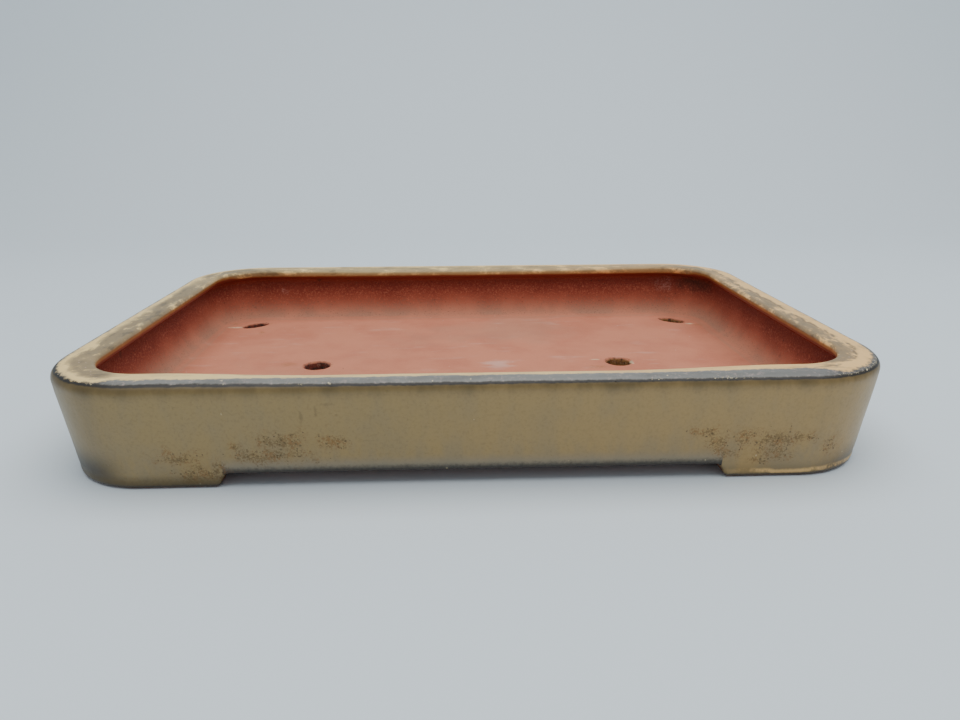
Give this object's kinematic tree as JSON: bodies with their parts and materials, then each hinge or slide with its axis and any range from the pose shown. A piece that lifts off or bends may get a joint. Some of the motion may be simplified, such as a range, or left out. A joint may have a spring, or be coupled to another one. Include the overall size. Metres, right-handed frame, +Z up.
{
  "type": "bonsai pot",
  "caption": "Shallow rectangular stoneware tray with rounded corners, inturned flat lip, glazed outside, bare clay inside, drain holes and cut corner feet, for growing a bonsai tree.",
  "frame": {"origin": "middle of the pot on the plane that its feet stand on", "axes": "+X along the long side, to the right as the pot is seen from the front; +Y towards the back; +Z up"},
  "size_m": [0.48, 0.32, 0.063],
  "materials": {
    "wall_glaze": "satin ochre-tan glaze, worn and stained",
    "lip_glaze": "satin cream glaze with a grey-blue outer shoulder",
    "bare_clay": "matt unglazed red clay with pale mineral bloom"
  },
  "bodies": {
    "root": {"floor_slab": "bare_clay", "wall_front": "wall_glaze", "wall_right": "wall_glaze", "wall_back": "wall_glaze", "wall_left": "wall_glaze", "lip_front": "lip_glaze", "lip_right": "lip_glaze", "lip_back": "lip_glaze", "lip_left": "lip_glaze", "floor_coil_front": "bare_clay", "floor_coil_right": "bare_clay", "floor_coil_back": "bare_clay", "floor_coil_left": "bare_clay", "foot_front_left": "wall_glaze", "foot_front_right": "wall_glaze", "foot_back_right": "wall_glaze", "foot_back_left": "wall_glaze"}
  },
  "joints": []
}
